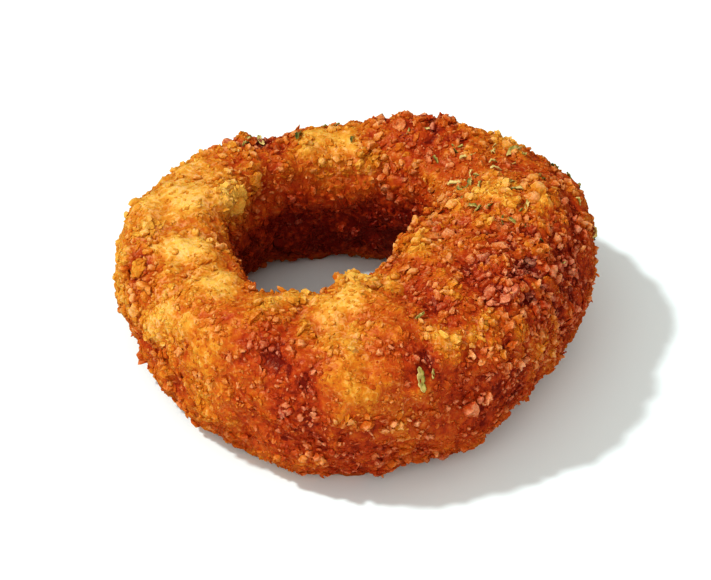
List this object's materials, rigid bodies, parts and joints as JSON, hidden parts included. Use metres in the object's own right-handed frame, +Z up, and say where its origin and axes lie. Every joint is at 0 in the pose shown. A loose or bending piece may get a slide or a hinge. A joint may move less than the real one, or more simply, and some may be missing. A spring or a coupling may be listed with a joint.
{
  "type": "fried onion ring",
  "caption": "Battered and crumbed fried onion ring with a craggy golden-brown crust, an open hole and herb flakes, resting flat.",
  "frame": {"origin": "centre of the ring's box, on the surface that it rests on", "axes": "+Z up through the hole, +X to the viewer's right across the widest way, -Y towards the viewer and the broad front of the ring"},
  "size_m": [0.0822, 0.0777, 0.0319],
  "materials": {
    "crust": "fried crumb crust, golden to red-brown, satin where smooth and rough where crumbed",
    "herbs": "dried parsley flakes, dull green"
  },
  "bodies": {
    "root": {"onion_ring": "crust"}
  },
  "joints": []
}
